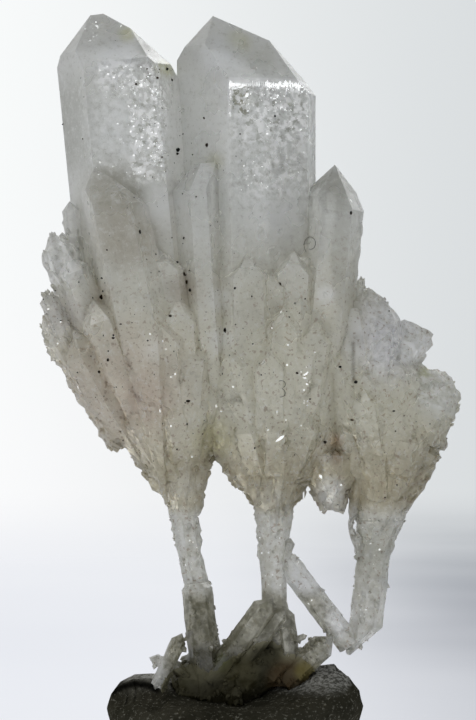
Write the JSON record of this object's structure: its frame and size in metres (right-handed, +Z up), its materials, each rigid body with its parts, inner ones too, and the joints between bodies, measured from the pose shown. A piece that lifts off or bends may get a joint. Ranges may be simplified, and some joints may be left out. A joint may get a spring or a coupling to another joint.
{
  "type": "quartz crystal cluster",
  "caption": "Flat upright spray of milky quartz crystals on slender crystal stalks, its root pressed into a dark lump of putty.",
  "frame": {"origin": "middle of the putty's flat underside", "axes": "+Z up along the crystals, -Y towards the side that the picture shows, +X to the right of that side"},
  "size_m": [0.0507, 0.025, 0.0875],
  "materials": {
    "quartz": "milky, translucent grey-white, frosted in places, with a faint olive tint low down",
    "putty": "dull, dark grey, pressed by hand, with pits and dust"
  },
  "bodies": {
    "root": {"quartz_cluster": "quartz", "putty_base": "putty"}
  },
  "joints": []
}
